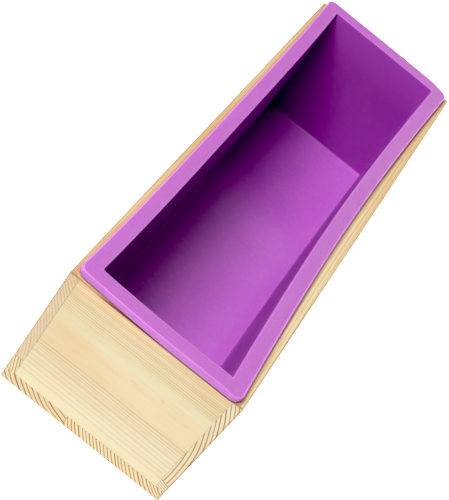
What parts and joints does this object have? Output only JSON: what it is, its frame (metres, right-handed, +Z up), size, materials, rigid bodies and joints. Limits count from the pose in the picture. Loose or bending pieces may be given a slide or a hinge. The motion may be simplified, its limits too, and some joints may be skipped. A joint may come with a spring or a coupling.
{
  "type": "soap loaf mould",
  "caption": "Silicone loaf liner with a flat flange, standing in an open pine box glued from staves; the liner lifts out.",
  "frame": {"origin": "middle of the box's underside, on the surface it stands on", "axes": "+X across the box to the right, +Y along the box from the front end to the rear end, +Z up"},
  "size_m": [0.088, 0.28, 0.0832],
  "materials": {
    "silicone": "satin lilac silicone, glossy inside the cavity",
    "pine": "bare sanded pine",
    "brad_wire": "plain steel wire"
  },
  "bodies": {
    "box": {"base_left_stave": "pine", "base_right_stave": "pine", "left_side_lower_stave": "pine", "left_side_upper_stave": "pine", "right_side_lower_stave": "pine", "right_side_upper_stave": "pine", "front_end_lower_stave": "pine", "front_end_upper_stave": "pine", "rear_end_lower_stave": "pine", "rear_end_upper_stave": "pine", "front_left_corner_brads": "brad_wire", "front_right_corner_brads": "brad_wire", "rear_left_corner_brads": "brad_wire", "rear_right_corner_brads": "brad_wire", "front_base_brads": "brad_wire", "rear_base_brads": "brad_wire", "left_base_brads": "brad_wire", "right_base_brads": "brad_wire"},
    "liner": {"silicone_liner": "silicone"}
  },
  "joints": [
    {"name": "liner_lift", "type": "slide", "parent": "box", "child": "liner", "axis": [0, 0, 1], "range_m": [0, 0.09]}
  ]
}
